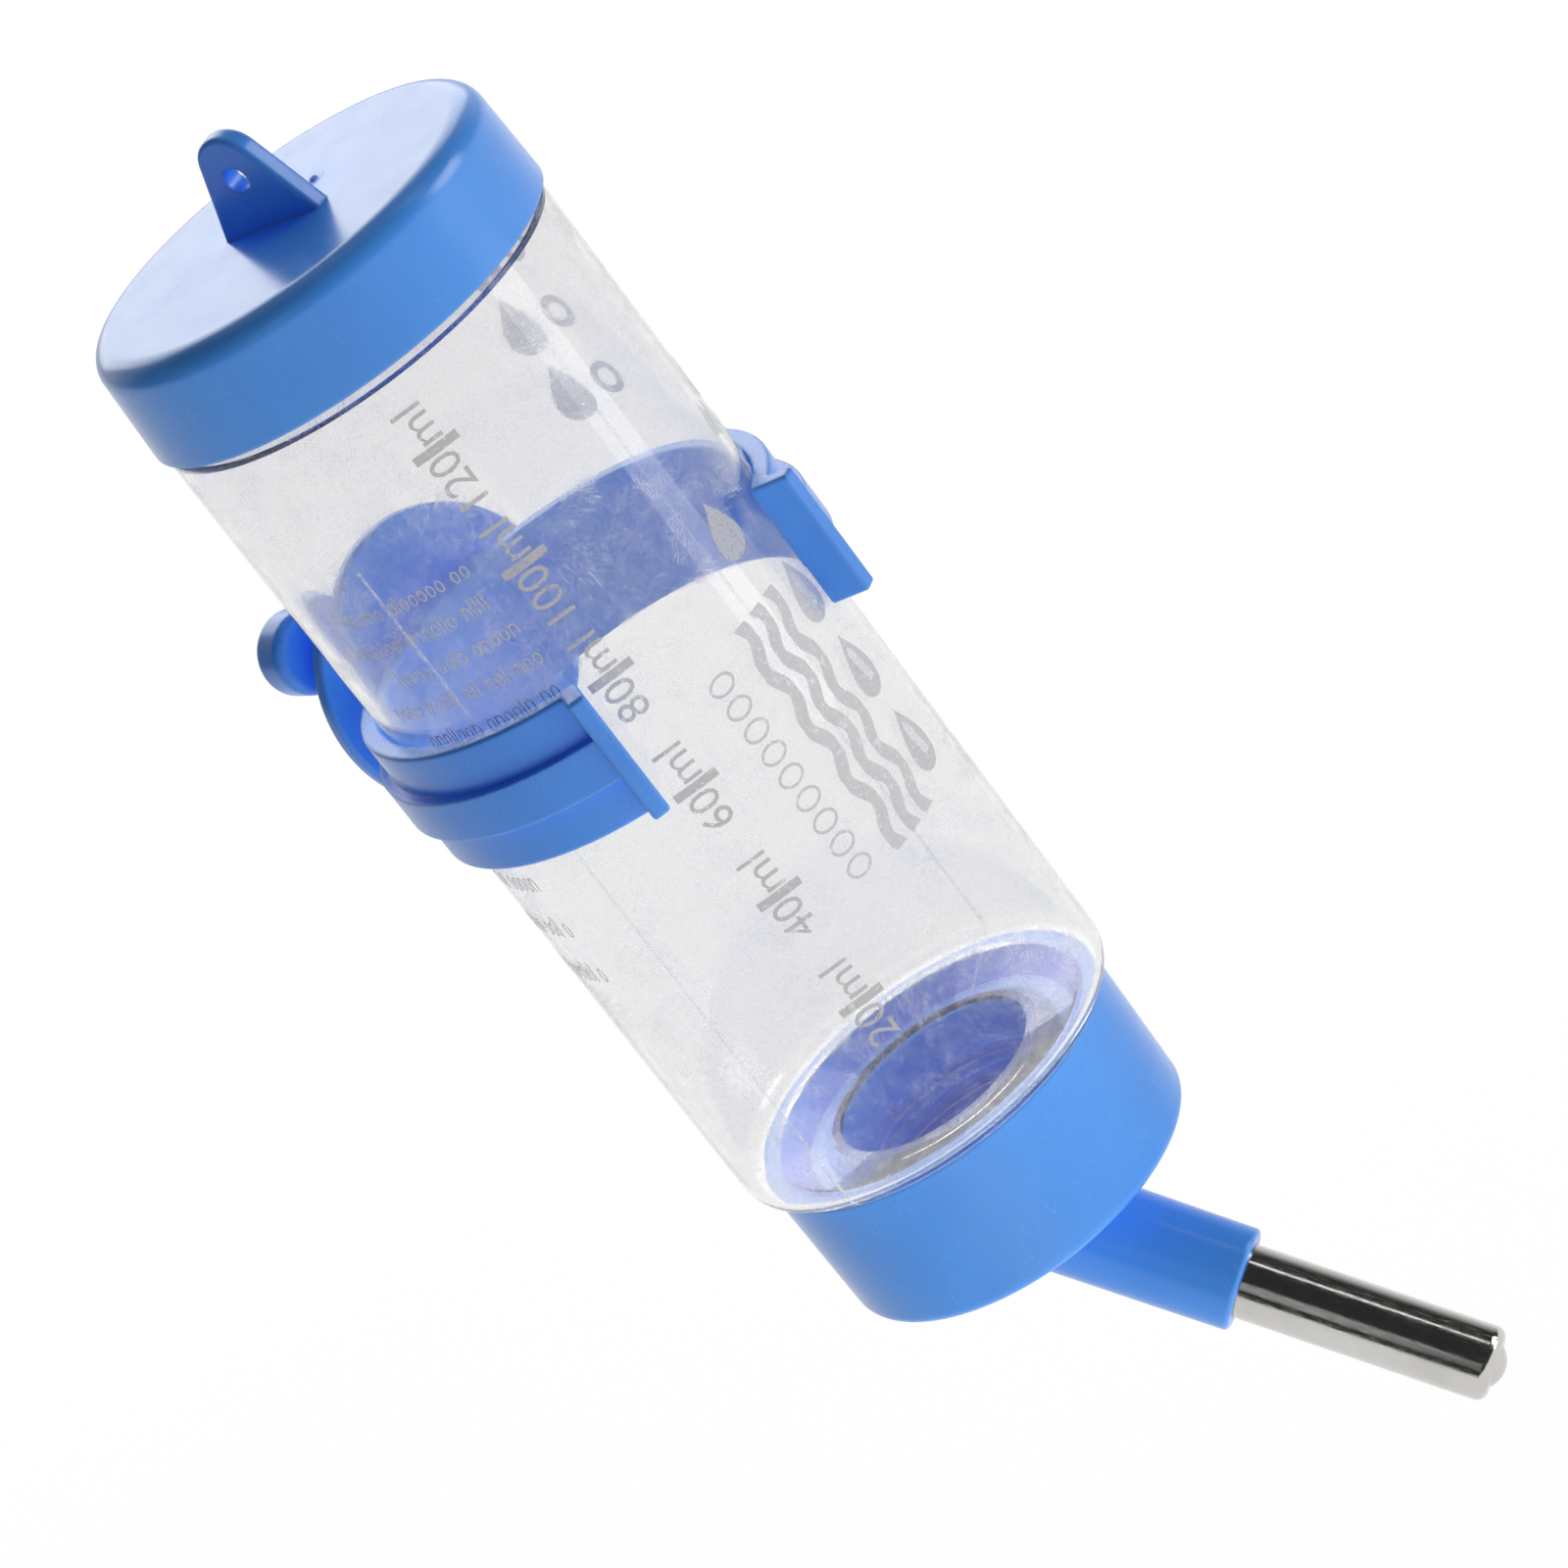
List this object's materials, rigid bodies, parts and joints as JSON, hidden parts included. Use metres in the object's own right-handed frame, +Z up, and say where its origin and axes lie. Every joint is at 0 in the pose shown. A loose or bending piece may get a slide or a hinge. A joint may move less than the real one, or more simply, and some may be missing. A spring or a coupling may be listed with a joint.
{
  "type": "rabbit water bottle",
  "caption": "Small-animal drinking bottle: clear graduated bottle with blue screw caps, bent sleeve with steel ball tube, and a C-clip with clamp disc and wing nut for a cage wall.",
  "frame": {"origin": "centre of the clip's clamping face, on the stud's axis, where the cage wires are gripped", "axes": "+Z up along the bottle, +Y out of the clamping face into the cage wall, +X completes the right-handed frame"},
  "size_m": [0.0504, 0.0765, 0.1767],
  "materials": {
    "blue_plastic": "moulded polypropylene, soft gloss",
    "clear_plastic": "clear blow-moulded plastic with fine scratches",
    "steel": "polished stainless steel",
    "seal": "soft white sealing rubber"
  },
  "bodies": {
    "clip": {"clip_ring": "blue_plastic"},
    "clamp": {"clamp_disc": "blue_plastic"},
    "nut": {"wing_nut": "blue_plastic"},
    "bottle": {"bottle": "clear_plastic"},
    "top_seal": {"top_seal": "seal"},
    "top_cap": {"top_cap": "blue_plastic"},
    "neck_seal": {"neck_seal": "seal"},
    "bottom_cap": {"bottom_cap": "blue_plastic", "drinking_tube": "steel"},
    "tip_ball": {"tip_ball": "steel"},
    "rear_ball": {"rear_ball": "steel"}
  },
  "joints": [
    {"name": "bottle_slide", "type": "slide", "parent": "clip", "child": "bottle", "axis": [0, 0, 1], "range_m": [-0.035, 0.045]},
    {"name": "top_seal_lift", "type": "slide", "parent": "bottle", "child": "top_seal", "axis": [0, 0, 1], "range_m": [0, 0.0045]},
    {"name": "top_cap_turn", "type": "hinge", "parent": "top_seal", "child": "top_cap", "pos_m": [0, -0.0259, 0.047], "axis": [0, 0, 1], "range_deg": [0, 540]},
    {"name": "neck_seal_drop", "type": "slide", "parent": "bottle", "child": "neck_seal", "axis": [0, 0, -1], "range_m": [0, 0.00675]},
    {"name": "bottom_cap_turn", "type": "hinge", "parent": "neck_seal", "child": "bottom_cap", "pos_m": [0, -0.0259, -0.065], "axis": [0, 0, -1], "range_deg": [0, 810]},
    {"name": "tip_ball_push", "type": "slide", "parent": "bottom_cap", "child": "tip_ball", "axis": [-0.2803, 0.6768, 0.6807], "range_m": [0, 0.028]},
    {"name": "rear_ball_push", "type": "slide", "parent": "bottom_cap", "child": "rear_ball", "axis": [-0.2803, 0.6768, 0.6807], "range_m": [0, 0.028]},
    {"name": "clamp_slide", "type": "slide", "parent": "clip", "child": "clamp", "axis": [0, 1, 0], "range_m": [-0.00225, 0.0075]},
    {"name": "wing_nut_turn", "type": "hinge", "parent": "clamp", "child": "nut", "pos_m": [0, 0.008, 0], "axis": [0, 1, 0], "range_deg": [-324, 1080]}
  ],
  "couplings": [
    {"joint": "top_cap_turn", "follows": "top_seal_lift", "rad_per_m": 2094.4},
    {"joint": "bottom_cap_turn", "follows": "neck_seal_drop", "rad_per_m": 2094.4},
    {"joint": "rear_ball_push", "follows": "tip_ball_push", "ratio": 1},
    {"joint": "wing_nut_turn", "follows": "clamp_slide", "rad_per_m": 2513.3}
  ]
}
